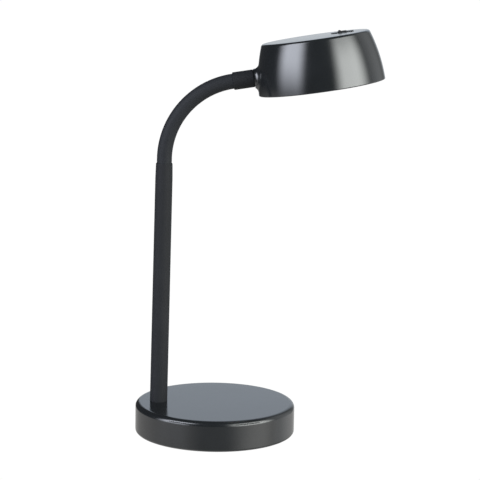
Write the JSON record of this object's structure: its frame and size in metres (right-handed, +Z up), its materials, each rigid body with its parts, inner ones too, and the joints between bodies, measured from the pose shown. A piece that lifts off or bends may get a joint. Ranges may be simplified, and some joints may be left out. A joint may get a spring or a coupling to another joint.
{
  "type": "desk lamp",
  "caption": "Gooseneck desk lamp: round weighted base, offset tapered post, flexible neck, bowl-shaped LED head with a top slide switch.",
  "frame": {"origin": "centre of the base's underside, on the desk", "axes": "+Z up, +X from the base towards the lamp head, +Y to the left of it; the arm lies in the XZ plane"},
  "size_m": [0.2264, 0.15, 0.3801],
  "materials": {
    "black_gloss_plastic": "black moulded plastic, satin to gloss, fine moulding texture",
    "black_satin_paint": "black satin powder coat",
    "black_matte_plastic": "black matt plastic",
    "neck_sleeve_rubber": "black matt extruded sleeve",
    "zinc_steel": "zinc plated steel",
    "pad_rubber": "dark grey non-slip foam rubber",
    "lead_jacket": "black PVC jacket",
    "inlet_pin_brass": "plated brass",
    "spreader_aluminium": "bare aluminium sheet",
    "board_white": "aluminium board, white solder mask",
    "chip_yellow": "yellow phosphor in a white package",
    "reflector_white": "white satin moulding",
    "diffuser_opal": "opal white, satin",
    "driver_green": "green circuit board",
    "driver_components": "dark electronic parts",
    "spacer_nylon": "natural nylon"
  },
  "bodies": {
    "base": {"base_cover": "black_gloss_plastic", "base_weight": "zinc_steel", "base_plate": "zinc_steel", "base_screws": "zinc_steel", "base_pad": "pad_rubber", "dc_inlet": "black_matte_plastic", "dc_inlet_pin": "inlet_pin_brass", "post_tube": "black_satin_paint", "post_foot_bush": "zinc_steel", "post_top_bush": "zinc_steel", "post_nipple": "zinc_steel", "post_washer": "zinc_steel", "post_nut": "zinc_steel", "base_lead": "lead_jacket", "neck_root_sleeve": "neck_sleeve_rubber", "neck_root_conduit": "zinc_steel"},
    "neck_link_1": {"neck_sleeve_1": "neck_sleeve_rubber", "neck_conduit_1": "zinc_steel", "neck_lead_1": "lead_jacket"},
    "neck_link_2": {"neck_sleeve_2": "neck_sleeve_rubber", "neck_conduit_2": "zinc_steel", "neck_lead_2": "lead_jacket"},
    "neck_link_3": {"neck_sleeve_3": "neck_sleeve_rubber", "neck_conduit_3": "zinc_steel", "neck_lead_3": "lead_jacket"},
    "neck_link_4": {"neck_sleeve_4": "neck_sleeve_rubber", "neck_conduit_4": "zinc_steel", "neck_lead_4": "lead_jacket"},
    "neck_link_5": {"neck_sleeve_5": "neck_sleeve_rubber", "neck_conduit_5": "zinc_steel", "neck_lead_5": "lead_jacket"},
    "neck_link_6": {"neck_sleeve_6": "neck_sleeve_rubber", "neck_conduit_6": "zinc_steel", "neck_lead_6": "lead_jacket"},
    "head": {"diffuser": "diffuser_opal", "diffuser_ring": "black_matte_plastic", "driver_board": "driver_green", "driver_parts": "driver_components", "driver_screws": "zinc_steel", "driver_spacers": "spacer_nylon", "head_lead": "lead_jacket", "head_nipple": "zinc_steel", "head_nut": "zinc_steel", "head_shell": "black_gloss_plastic", "head_washer": "zinc_steel", "heat_spreader": "spreader_aluminium", "led_board": "board_white", "led_chips": "chip_yellow", "neck_collar": "black_satin_paint", "neck_end_conduit": "zinc_steel", "neck_end_sleeve": "neck_sleeve_rubber", "reflector": "reflector_white", "spreader_screws": "zinc_steel", "switch_frame": "black_matte_plastic", "switch_plate": "black_matte_plastic", "switch_screws": "zinc_steel", "switch_wires": "lead_jacket"},
    "switch_slider": {"switch_knob": "black_matte_plastic"}
  },
  "joints": [
    {"name": "neck_bend_1", "type": "hinge", "parent": "base", "child": "neck_link_1", "pos_m": [-0.04982, 0, 0.26618], "axis": [0, 1, 0], "range_deg": [-25, 20]},
    {"name": "neck_sway_2", "type": "hinge", "parent": "neck_link_1", "child": "neck_link_2", "pos_m": [-0.04668, 0, 0.28065], "axis": [-0.9511, 0, 0.3087], "range_deg": [-20, 20]},
    {"name": "neck_bend_3", "type": "hinge", "parent": "neck_link_2", "child": "neck_link_3", "pos_m": [-0.04072, 0, 0.29421], "axis": [0, 1, 0], "range_deg": [-25, 20]},
    {"name": "neck_sway_4", "type": "hinge", "parent": "neck_link_3", "child": "neck_link_4", "pos_m": [-0.0322, 0, 0.30632], "axis": [-0.7565, 0, 0.6539], "range_deg": [-20, 20]},
    {"name": "neck_bend_5", "type": "hinge", "parent": "neck_link_4", "child": "neck_link_5", "pos_m": [-0.02145, 0, 0.31651], "axis": [0, 1, 0], "range_deg": [-25, 20]},
    {"name": "neck_sway_6", "type": "hinge", "parent": "neck_link_5", "child": "neck_link_6", "pos_m": [-0.00889, 0, 0.32436], "axis": [-0.4431, 0, 0.8965], "range_deg": [-20, 20]},
    {"name": "neck_bend_7", "type": "hinge", "parent": "neck_link_6", "child": "head", "pos_m": [0.00497, 0, 0.32957], "axis": [0, 1, 0], "range_deg": [-25, 20]},
    {"name": "switch_slide", "type": "slide", "parent": "head", "child": "switch_slider", "axis": [0.9872, 0, 0.1592], "range_m": [-0.002, 0.002]}
  ],
  "couplings": [
    {"joint": "neck_bend_3", "follows": "neck_bend_1", "ratio": 1},
    {"joint": "neck_bend_7", "follows": "neck_bend_5", "ratio": 1},
    {"joint": "neck_sway_4", "follows": "neck_sway_2", "ratio": 1},
    {"joint": "neck_sway_6", "follows": "neck_sway_2", "ratio": 1}
  ]
}
